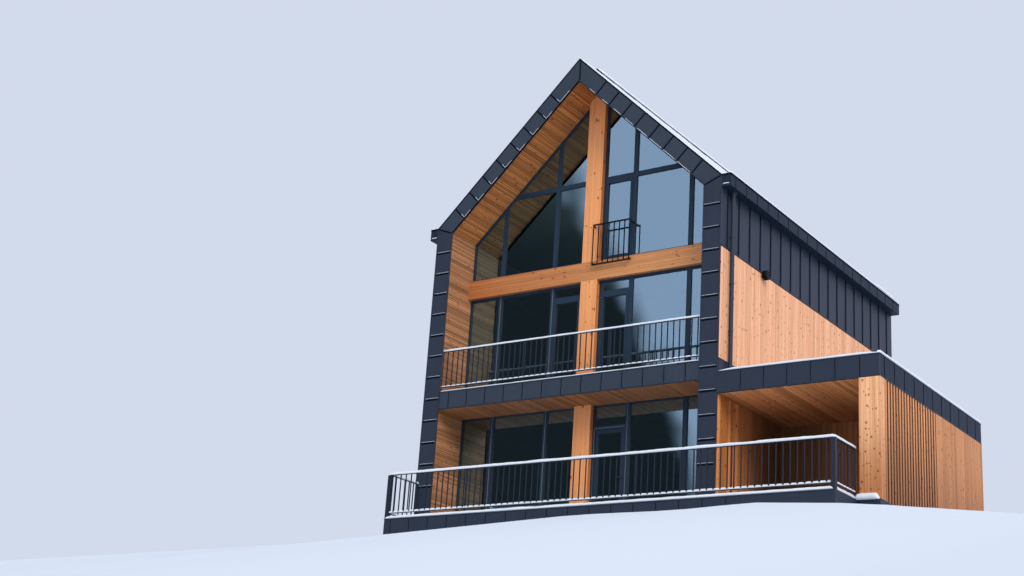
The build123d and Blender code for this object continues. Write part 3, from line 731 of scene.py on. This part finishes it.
bar = {name: strip(*size) for name, size in bars.items()}
seam = {"pitch": 0.525, "first": 0.33, "gutterShift": 0.06, "rearRows": 7}
cornerSeams = (0.41, 0.94, 1.45, 1.96, 2.48, 2.99, 3.52, 4.03, 4.54, 5.06, 5.57, 6.08, 6.61)
rakeSeams = (0.77, 1.13, 1.49, 1.84, 2.22, 2.59, 2.95, 3.33, 3.68)
gutterLow, gutterHigh = span("eave_gutters")
jointAside = {"wideJoint": 0.026, "fineJoint": 0.016}  # how far a joint is from its fold
shadowStrips = Heap()


def foldLine(heap, line, out, aside, section="fold", joint="wideJoint"):
    # a raised fold, and beside it a dark strip: the joint's painted shadow
    start, end = (Vector(p) for p in line)
    shift = Vector(aside).normalized() * jointAside[joint]
    heap.run(start, end, out, bar[section])
    shadowStrips.run(start + shift, end + shift, out, bar[joint])


seams = Heap()
capX = span("ridge_cap")[1].x
seamCount = math.ceil((houseDepth - 0.05 - seam["first"]) / seam["pitch"])
for side in (1, -1):
    wall, face, out = side * halfWidth, side * gutterHigh.x, right * side
    for y in (seam["first"] + i * seam["pitch"] for i in range(seamCount)):
        near = y - seam["gutterShift"]
        foldLine(seams, upright(wall, y, breakZ + 0.02, gutterLow.z), out, -back, "seam")
        foldLine(seams, upright(face, near, gutterLow.z, eaveZ - 0.05), out, -back)
        seams.run(*level((wall, near), (face, near), gutterLow.z), -up, bar["fold"])
        top = Vector((side * capX, y, roofZ(capX)))
        foot = top + downSlope(side) * ((halfWidth - capX) / math.cos(pitch))
        seams.run(top, foot, -intoRoof(side), bar["seam"])
    # the drip edge where the metal starts over the boards, with a dark strip under it, and a dark strip at
    # the gutter's top: painted shadow under the drip and under the gutter's rolled lip
    lipZ = eaveZ - 0.026
    seams.run(*level((wall, skin), (wall, houseDepth), breakZ + 0.012), out, bar["drip"])
    shadowStrips.run(*level((wall, skin), (wall, houseDepth), breakZ - 0.008), out, bar["underDrip"])
    shadowStrips.run(*level((face, 0), (face, houseDepth), lipZ), out, bar["gutterLip"])
    shadowStrips.run(*level((face, 0), (wall, 0), lipZ), -back, bar["gutterLip"])
wallFoot = (halfWidth, skin), (halfWidth, annexDepth)
seams.run(*level(*wallFoot, annexTop + 0.1), right, bar["flashing"])
seams.run(*level(*wallFoot, boardsFoot - 0.012), right, bar["flashingFoot"])
for i in range(-seam["rearRows"], seam["rearRows"] + 1):
    x, sill = i * seam["pitch"], atticWindow[2]
    stretches = [(breakZ, roofZ(x))]
    if abs(x) < rearWindow["atticWidth"] / 2 + 0.06:
        stretches = [(breakZ, sill), (sill + rearWindow["height"], roofZ(x))]
    for low, high in stretches:
        seams.run(*upright(x, houseDepth, low, high - 0.01), back, bar["seam"])
seams.run(*level((-halfWidth, houseDepth), (halfWidth, houseDepth), breakZ + 0.01), back, bar["rearDrip"])
seams.make("standing_seams", "sheetMetal")

# folds and edges of the front's metal frame
folds = Heap()
innerX = halfWidth - bandWidth
peak = Vector((0, 0, roofZ(0, bandDrop)))
behind = back * 0.022
for side in (1, -1):
    outer, inner = side * halfWidth, side * innerX
    for z in cornerSeams:
        foldLine(folds, level((inner, 0), (outer, 0), z), -back, -up)
    for x in rakeSeams:
        # square to the slope, from the roof's surface down to the band's inner edge
        top = Vector((side * x, 0, roofZ(x)))
        low = top + intoRoof(side) * rakeWidth
        if abs(low.x) < innerX:
            foldLine(folds, (low, top), -back, downSlope(side))
    kink = Vector((inner, 0, roofZ(innerX, bandDrop)))
    foldLine(folds, (kink, (outer, 0, eaveZ)), -back, -up)
    folds.run(peak, kink, -back, bar["frameEdge"])
    shadowStrips.run(peak + behind, kink + behind, intoRoof(side), bar["frameShadow"])
    folds.run((inner, 0, 0), kink, -back, bar["frameEdge"])
    # painted shadow: a dark strip along the roof's edge, over the sloping band
    shadowStrips.run((0, 0, ridgeZ - 0.02), (outer, 0, eaveZ - 0.02), -back, bar["roofEdge"])
    folds.run(*upright(outer, 0, 0, eaveZ), -back, bar["frameEdge"])
foldLine(folds, (peak, (0, 0, ridgeZ - 0.03)), -back, right)
folds.make("frame_folds", "sheetMetal")

# sheet edges on each face: the first, the pitch and the count
sheetRows = {
    "annexFront": (4.312, 0.512, 6),
    "annexSide": (0.285, 0.522, 11),
    "annexRear": (halfWidth + 0.5, 0.5, 6),
    "balcony": (-3.12, 0.513, 13),
    "plinthFront": (-3.634, 0.5135, 17),
    "plinthLeft": (terraceFront + 0.4, 0.5, 21),
    "plinthRight": (0.3, 0.5, 11),
}
plinthTop = -0.01


def sheetEdges(face):
    first, apart, count = sheetRows[face]
    return [first + i * apart for i in range(count)]


def coping(start, end, z, out):
    folds.run(*level(start, end, z), out, bar["coping"])


folds = Heap()
for x in sheetEdges("annexFront"):
    foldLine(folds, upright(x, 0, annexLow, annexTop), -back, right, joint="fineJoint")
for y in sheetEdges("annexSide"):
    foldLine(folds, upright(annexRight, y, annexLow, annexTop), right, -back)
for x in sheetEdges("annexRear"):
    folds.run(*upright(x, annexDepth, annexLow, annexTop), back, bar["fold"])
for x in sheetEdges("balcony"):
    foldLine(folds, upright(x, fasciaY, balconyLow, firstZ), -back, right, joint="fineJoint")
for x in sheetEdges("plinthFront"):
    foldLine(folds, upright(x, terraceFront, footZ, plinthTop), -back, right, joint="fineJoint")
for y in sheetEdges("plinthLeft"):
    folds.run(*upright(-halfWidth, y, footZ, plinthTop), -right, bar["fold"])
for y in sheetEdges("plinthRight"):
    folds.run(*upright(annexRight, y, footZ, plinthTop), right, bar["fold"])
# folded edges along the tops and the feet of the fascias
inset = bars["coping"][0] / 2
for z in (annexLow + inset, annexTop - inset):
    coping((halfWidth, 0), (annexRight, 0), z, -back)
    coping((annexRight, 0), (annexRight, annexDepth), z, right)
    coping((halfWidth, annexDepth), (annexRight, annexDepth), z, back)
for z in (balconyLow + inset, firstZ - inset):
    coping((-innerX, fasciaY), (innerX, fasciaY), z, -back)
coping((-halfWidth, terraceFront), (terraceRight, terraceFront), -inset, -back)
coping((-halfWidth, terraceFront), (-halfWidth, houseDepth), -inset, -right)
folds.make("fascia_folds", "sheetMetal")
shadowStrips.make("metal_joint_shadows", "jointShadow")

# cover strips on the joints between the window frames, painted pale as the highlight along each joint, each
# from (x, z) to (x, z)
highlightStrips = Heap()
stripFoot = 0.03
firstHead = span("attic_beam")[0].z - stripFoot
stripLines = [((x, stripFoot), (x, balconyLow)) for x in (-2.53, -1.052, 1.1)]
stripLines += [((x, firstZ + stripFoot), (x, firstHead)) for x in (-2.53, -1.052)]
stripLines += [
    ((0.27, stripFoot), (0.27, 2.17)),  # the terrace door's hinges and head
    ((0.27, 2.185), (1.04, 2.185)),
    ((-0.985, 5.29), (-0.25, 5.29)),  # the heads of the doors to the balcony
    ((0.25, 5.26), (0.92, 5.26)),
]
for (x0, z0), (x1, z1) in stripLines:
    highlightStrips.run((x0, glassY, z0), (x1, glassY, z1), -back, bar["coverStripHighlight"])
highlightStrips.make("frame_strip_highlights", "coverStripHighlight")

windowTrim = {
    "lap": 0.02,  # of the casings past the hole
    "sillLap": 0.05,
    "sillBack": 0.09,  # the sill starts this far inside the cladding's face
    "sill": [(0, 0), (0, 0.004), (-0.135, -0.008), (-0.14, -0.03), (-0.134, -0.03), (-0.13, -0.012)],
}
trims = Heap()
casing, lap = bars["casing"][0] / 2, windowTrim["lap"]
y, past = houseDepth - windowTrim["sillBack"], windowTrim["sillLap"]
for x, width, sill in (*lowerWindows, atticWindow):
    left, rightEdge, head = x - width / 2, x + width / 2, sill + rearWindow["height"]
    for edge in (left, rightEdge):
        trims.run(*upright(edge, houseDepth, sill - lap, head + lap), back, bar["casing"])
    start, end = (left - casing, houseDepth), (rightEdge + casing, houseDepth)
    trims.run(*level(start, end, head), back, bar["casingHead"])
    trims.run(*level((left - past, y), (rightEdge + past, y), sill + 0.012), up, windowTrim["sill"])
trims.make("rear_window_trims", "windowMetal")
print("metal folded")

# gaskets
glassThick = 0.028


def paneEdges(node):
    # the outer edges of the panes' front faces, each with a point inside its pane
    work = bmesh.new()
    work.from_mesh(nodes[node].data)
    bmesh.ops.remove_doubles(work, verts=work.verts, dist=0.0001)
    edges = []
    for edge in work.edges:
        front = [face for face in edge.link_faces if face.normal.y < -0.99]
        if len(front) == 1:
            points = edge.verts[0].co, edge.verts[1].co, front[0].calc_center_median()
            edges.append([point - origin for point in points])
    work.free()
    return edges


def gaskets(node, body="house"):
    # a bead round every pane, on its front and on its back
    heap = Heap()
    for start, end, inside in paneEdges(node):
        inward = (end - start).normalized().cross(back)
        if inward.dot(inside - start) < 0:
            inward = -inward
        for out, depth in ((-back, 0.0), (back, glassThick)):
            place = back * depth + inward * (bars["gasket"][0] / 2)
            heap.run(start + place, end + place, out, bar["gasket"])
    heap.make(node + "_gaskets", "gasketRubber", body)


for node in ("ground_glass", "first_floor_glass", "attic_glass", "rear_window_glass"):
    gaskets(node)
gaskets("terrace_door_glass", "terrace_door")
print("panes sealed")

# snow lying on rails, copings and seams
mound = ((-1, 0, 0), (-0.95, 0, 0.5), (-0.6, 0, 0.9), (0, 0, 1), (0.6, 0, 0.9), (0.95, 0, 0.5), (1, 0, 0))
overCap = ((-0.8, -1.1, 0), (-1.0, -1.07, 0.1), (-1.08, -0.98, 0.5), (-0.9, -0.87, 1), (-0.45, -0.45, 1.1),
    (0, -0.04, 1.1), (0.45, -0.45, 1.1), (0.9, -0.87, 1), (1.08, -0.98, 0.5), (1.0, -1.07, 0.1),
    (0.8, -1.1, 0))
rail = {"pitch": 0.147, "foot": 0.135, "half": 0.045, "halfBar": 0.01, "sunk": 0.022, "past": 0.03}
snowSize = {  # width and height
    "frontRail": (0.068, 0.062), "sideRail": (0.064, 0.056), "balconyRail": (0.058, 0.046),
    "terraceFront": (0.13, 0.06), "terraceRight": (0.13, 0.085), "terraceLeft": (0.1, 0.03),
    "balcony": (0.08, 0.026), "annexFoot": (0.15, 0.125), "annexFront": (0.09, 0.05),
    "annexSide": (0.1, 0.066), "annexRear": (0.07, 0.028), "gutterLip": (0.075, 0.05),
    "gutterHeap": (0.1, 0.09), "trough": (0.166, 0.04), "kink": (0.014, 0.02),
    "cornerSeam": (0.009, 0.006), "rightRake": (0.008, 0.009), "leftRake": (0.008, 0.01),
    "leftRakeSeam": (0.007, 0.008), "ridge": (0.31, 0.045),
}
sheetDepth = {"roof": 0.035, "annex": 0.07, "terrace": 0.03}


def snowRidge(heap, line, size, step=0.05, barPitch=0.0, taper=0.04, profile=mound, drop=0.0):
    # profile points are across, down by the shape underneath, and up by the snow's own thickness
    start, end = (Vector(p) for p in line)
    width, height = size
    length = (end - start).length
    axis = (end - start).normalized()
    side = axis.cross(up).normalized()
    over = side.cross(axis)
    count = max(3, round(length / step))
    points = []
    for i in range(count + 1):
        far = length * i / count
        place = start + axis * far
        lump = 1 + 0.2 * noise.noise(place * 2.1) + 0.1 * noise.noise(place * 9.0)
        if barPitch:
            # low at each bar, level between them
            lump *= max(0.25, min(1, (abs(math.remainder(far, barPitch)) - rail["halfBar"]) / 0.014))
        tip = min(1, 0.3 + min(far, length - far) / taper)
        w = width / 2 * (0.96 + 0.08 * noise.noise(place * 4.1 + up * 9)) * (0.6 + 0.4 * tip)
        thick = height * lump * tip
        points += [place + side * (a * w) + over * (b * drop + h * thick) for a, b, h in profile]
    n = len(profile)
    faces = [[i * n + j, i * n + (j + 1) % n, (i + 1) * n + (j + 1) % n, (i + 1) * n + j]
        for i in range(count) for j in range(n)]
    heap.add(points, faces + [list(range(n))[::-1], [count * n + j for j in range(n)]])


def snowSheet(heap, corner, along, across, out, length, width, depth, seamed=False):
    # a blanket that rounds off at its edges
    corner = Vector(corner)

    def steps(size):
        edges = [0, 0.012, 0.035, 0.08]
        inner = list(np.linspace(0.14, size - 0.14, max(2, round((size - 0.28) / 0.11))))
        return edges + inner + [size - e for e in reversed(edges)]

    us, vs = steps(length), steps(width)
    points = []
    for u in us:
        for v in vs:
            place = corner + along * u + across * v
            rim = min(u, length - u, v, width - v)
            rounding = math.sqrt(max(0, 1 - (1 - min(1, rim / 0.05)) ** 2))
            thick = depth * (0.9 + 0.25 * noise.noise(place * 1.1) + 0.1 * noise.noise(place * 3.0))
            # the standing seams under it show as soft ridges
            ridge = abs(math.remainder(v + 0.03 - seam["first"], seam["pitch"])) if seamed else 1
            thick += 0.012 * math.exp(-(ridge / 0.05) ** 2)
            points.append(place + out * (thick * rounding - 0.004))
    heap.add(points, gridFaces(len(us), len(vs)))


def snowyRail(heap, start, end, top, foot, size):
    # over the top rail, and in short heaps between the bars on the lower one
    start, end = Vector((*start, 0)), Vector((*end, 0))
    length = (end - start).length
    past = (end - start).normalized() * rail["past"]
    crown = up * (top - rail["sunk"])
    snowRidge(heap, (start - past + crown, end + past + crown), size)
    snowRidge(heap, (start + up * foot, end + up * foot), (0.036, size[1] * 0.7), 0.0098,
        length / round(length / rail["pitch"]))


drift = Heap()
low, high = span("terrace_railing")
leftX, rightX, frontY = low.x + rail["half"], high.x - rail["half"], low.y + rail["half"]
snowyRail(drift, (leftX, frontY), (rightX, frontY), high.z, rail["foot"], snowSize["frontRail"])
for x in (leftX, rightX):
    rearY = span("terrace_side_railings")[1].y
    snowyRail(drift, (x, frontY), (x, rearY), high.z, rail["foot"], snowSize["sideRail"])
low, high = span("balcony_railing")
y = (low.y + high.y) / 2
snowyRail(drift, (-revealX, y), (revealX, y), high.z, firstZ + rail["foot"], snowSize["balconyRail"])
drift.make("railing_snow", "freshSnow", smooth=True)


def lay(name, line, **options):
    snowRidge(drift, line, snowSize[name], **options)


# on the copings of the terrace, the balcony and the annex
drift = Heap()
x, y, leftX = terraceRight - 0.06, terraceFront + 0.05, -halfWidth + 0.05
lay("terraceFront", level((-halfWidth, y), (terraceRight, y), 0.008))
lay("terraceRight", level((x, terraceFront + 0.02), (x, -0.03), 0.006), taper=0.07)
lay("terraceLeft", level((leftX, terraceFront), (leftX, -0.02), 0.008))
lay("balcony", level((-innerX, 0.05), (innerX, 0.05), firstZ + 0.005))
x, y = annexRight - 0.03, annexDepth - 0.03
lay("annexFoot", level((terraceRight - 0.02, -0.015), (annexRight - 0.02, -0.015), -0.012), step=0.03,
    taper=0.07)
lay("annexFront", level((halfWidth + 0.03, 0.03), (annexRight, 0.03), annexTop), taper=0.5)
lay("annexSide", level((x, 0.0), (x, annexDepth), annexTop))
lay("annexRear", level((halfWidth + 0.01, y), (annexRight, y), annexTop))
# on the gutters, the kinks of the frame and the seams of its upright bands
for side in (1, -1):
    lip, trough = side * (gutterHigh.x - 0.03), side * (halfWidth + 0.11)
    lay("gutterLip", level((lip, 0), (lip, houseDepth), eaveZ - 0.004))
    lay("gutterHeap", ((lip, 7.9, eaveZ + 0.01), (lip, 9.5, eaveZ)), taper=0.5)
    lay("trough", level((trough, 0.03), (trough, houseDepth - 0.03), eaveZ - 0.05), step=0.1)
    lay("kink", level((side * 3.83, -0.004), (side * 3.99, -0.004), 7.016), step=0.03)
    for z in cornerSeams:
        line = (side * innerX, -0.007, z + 0.008), (side * (halfWidth - 0.03), -0.007, z + 0.006)
        lay("cornerSeam", line, step=0.03)
# on the rakes it clings to the sheets' lower edges, and on the left to the seams as well
sheets = [0.2, *rakeSeams]
lowEdge = rakeWidth - 0.005
for side in (1, -1):
    fall, inward = downSlope(side), intoRoof(side)
    for near, far in zip(sheets, sheets[1:]):
        start, end = (Vector((side * x, -0.007, roofZ(x))) + inward * lowEdge for x in (near, far))
        size = (end - start).length
        if abs(end.x) > innerX:
            continue
        if side > 0:
            start = end - fall * size * min(0.95, 0.25 + near * 0.3)
            lay("rightRake", (start, end - fall * 0.02), step=0.03)
        else:
            lay("leftRake", (end - fall * size * 0.45, end), step=0.03)
            lay("leftRakeSeam", (end, end - inward * 0.15), step=0.03)
drift.make("edge_snow", "freshSnow", smooth=True)

drift = Heap()
for side in (1, -1):
    snowSheet(drift, (side * 0.02, 0.03, roofZ(0.02)), downSlope(side), back, -intoRoof(side),
        halfWidth / math.cos(pitch), houseDepth - 0.16, sheetDepth["roof"], True)
snowSheet(drift, (halfWidth + 0.02, 0.06, annexTop - 0.09), right, back, up,
    annexRight - halfWidth - 0.08, annexDepth - 0.12, sheetDepth["annex"])
snowSheet(drift, (-halfWidth + 0.04, terraceFront + 0.04, 0.008), right, back, up,
    terraceRight + halfWidth - 0.08, -terraceFront - 0.06, sheetDepth["terrace"])
drift.make("roof_snow", "thinSnow", smooth=True)
drift = Heap()
lay("ridge", level((0, 0.77), (0, houseDepth - 0.01), ridgeZ + 0.088), step=0.12, profile=overCap,
    drop=capX * slope)
drift.make("ridge_snow", "freshSnow", smooth=True)
print("snow laid")

# floor, light and camera
shownSky = (0.645, 0.705, 0.835)
crest = {  # where the ground starts to fall away in front of the house
    "x": (-8, -3, -1, 0.9, 3, 4.6, 6.3, 7.7, 9.5, 12),
    "y": (-5.36, -5.36, -5.98, -6.42, -6.27, -6.49, -5.95, -4.97, -3.78, -3.49),
    "slope": 0.25,
    "ease": 1.2,  # over which the slope grows
    "drop": 7.4,
}


def groundHeight(x, y):
    # level under and behind the house, falling away in front of it
    past = float(np.interp(x, crest["x"], crest["y"])) - y
    if past <= 0:
        return 0.0
    ease = crest["ease"]
    fall = crest["slope"] * (past * past / (2 * ease) if past < ease else past - ease / 2)
    return -min(fall, crest["drop"])


def places(*stretches):
    return np.concatenate([np.linspace(*stretch) for stretch in stretches])


xs = places((-220, -20, 9), (-16, 16, 49), (20, 220, 9))
ys = places((-220, -40, 7), (-35.4, -8.6, 23), (-8.4, -4.2, 43), (-4, 16, 11), (40, 220, 7))
mesh = bpy.data.meshes.new("ground")
points = [(x, y, groundHeight(x, y) - 0.002) for x in xs for y in ys]
mesh.from_pydata(points, [], [[a, d, c, b] for a, b, c, d in gridFaces(len(xs), len(ys))])
mesh.shade_smooth()
paint = newPaint("paleFloor")
x, y, z = paint.axes()
far = paint.fade((x * x + y * y) ** 0.5, 16.0, 60.0)
seen = paint.node("LightPath")["Is Camera Ray"]
near = paint.node("BsdfDiffuse", {"Color": shownSky})
plain = paint.node("Emission", {"Color": shownSky})
mesh.materials.append(paint.show(paint.node("MixShader", {0: far * seen, 1: near, 2: plain})))
placed("ground", mesh)

light = {
    "dome": (0.88, 0.94, 1.0),
    "domeStrength": 0.8,
    "sun": 1.75,
    "sunColour": (1.0, 0.94, 0.86),
    "sunSize": 32,
    "sunFrom": (0.64, -0.54, 0.58),
    "mirrored": (0.84, 0.83, 1.04),  # what glass and metal show: sky, and darker below it
    "mirroredLow": (0.026, 0.031, 0.036),
    "mirroredHigh": (0.15, 0.172, 0.158),
}
world = Paint(bpy.data.worlds.new("overcast"))
ray = world.node("LightPath")
x, y, z = world.axes(world.node("TexCoord")["Generated"])
lift = world.fade(x * 0.966 + z * 0.258, -0.402, -0.378)
shown = world.node("Background", {"Color": shownSky})
dome = world.node("Background", {"Color": light["dome"], "Strength": light["domeStrength"]})
below = world.blend(world.fade(z, 0.33, 0.44), light["mirroredLow"], light["mirroredHigh"])
sky = world.blend(lift, below, light["mirrored"])
mirrored = world.node("Background", {"Color": sky})
lit = world.node("MixShader", {0: ray["Is Glossy Ray"], 1: dome, 2: mirrored})
scene.world = world.show(world.node("MixShader", {0: ray["Is Camera Ray"], 1: lit, 2: shown}))

sun = bpy.data.lights.new("softSun", "SUN")
sun.energy = light["sun"]
sun.color = light["sunColour"]
sun.angle = math.radians(light["sunSize"])
lamp = placed("softSun", sun)
lamp.rotation_mode = "QUATERNION"
lamp.rotation_quaternion = Vector(light["sunFrom"]).to_track_quat("Z", "Y")

view = {"place": (16.654, -31.879, -5.694), "turn": 35.656, "tilt": 18.947, "roll": 3.898,
    "lens": 55.1, "sensor": 36, "reach": 500}


def rotated(angle, axis):
    return Matrix.Rotation(math.radians(angle), 3, axis)


lens = bpy.data.cameras.new("camera")
lens.lens = view["lens"]
lens.sensor_width = view["sensor"]
lens.clip_end = view["reach"]
camera = placed("camera", lens)
turn = rotated(view["turn"], "Z") @ rotated(90 + view["tilt"], "X") @ rotated(view["roll"], "Z")
camera.rotation_mode = "QUATERNION"
camera.rotation_quaternion = turn.to_quaternion()
camera.location = view["place"]
scene.camera = camera
scene.view_settings.view_transform = "Standard"
print("camera and light set")
